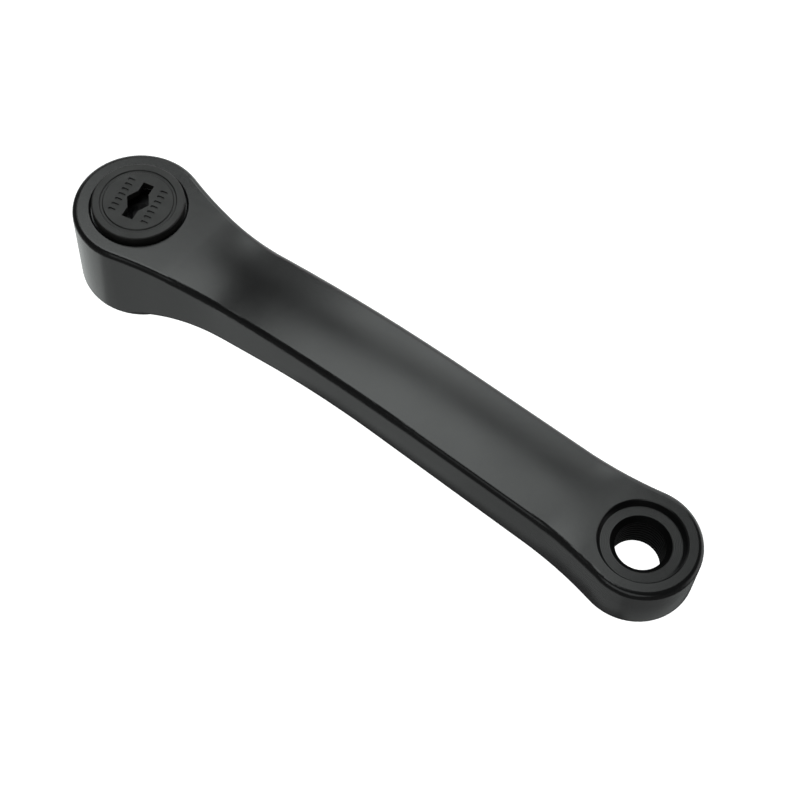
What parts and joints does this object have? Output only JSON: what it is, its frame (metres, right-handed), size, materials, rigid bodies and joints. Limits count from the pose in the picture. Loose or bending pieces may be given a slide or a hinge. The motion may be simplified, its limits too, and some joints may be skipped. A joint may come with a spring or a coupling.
{
  "type": "bicycle crank arm",
  "caption": "Left-hand forged crank arm with a tapered square spindle socket, a threaded pedal eye and a screw-in dust cap over the spindle bolt.",
  "frame": {"origin": "on the spindle axis, in the plane of the boss's inner face, at the mouth of the spindle socket", "axes": "+X runs along the arm from the spindle axis to the pedal axis; +Z runs along the spindle axis, outboard, towards the dust cap; the arm is symmetric about the XZ plane"},
  "size_m": [0.2043, 0.0372, 0.0374],
  "materials": {
    "arm_paint": "satin black paint over forged aluminium",
    "cap_plastic": "moulded black plastic with a fine texture",
    "bolt_steel": "black-oxide steel",
    "washer_steel": "black-oxide steel"
  },
  "bodies": {
    "arm": {"crank_arm": "arm_paint"},
    "cap": {"dust_cap": "cap_plastic"},
    "washer": {"bolt_washer": "washer_steel"},
    "bolt": {"crank_bolt": "bolt_steel"}
  },
  "joints": [
    {"name": "cap_lift", "type": "slide", "parent": "arm", "child": "cap", "axis": [0, 0, 1], "range_m": [0, 0.015]},
    {"name": "bolt_play", "type": "slide", "parent": "arm", "child": "washer", "axis": [0, 0, 1], "range_m": [0, 0.0022]},
    {"name": "bolt_turn", "type": "hinge", "parent": "washer", "child": "bolt", "pos_m": [0, 0, 0.0208], "axis": [0, 0, 1], "continuous": true}
  ]
}
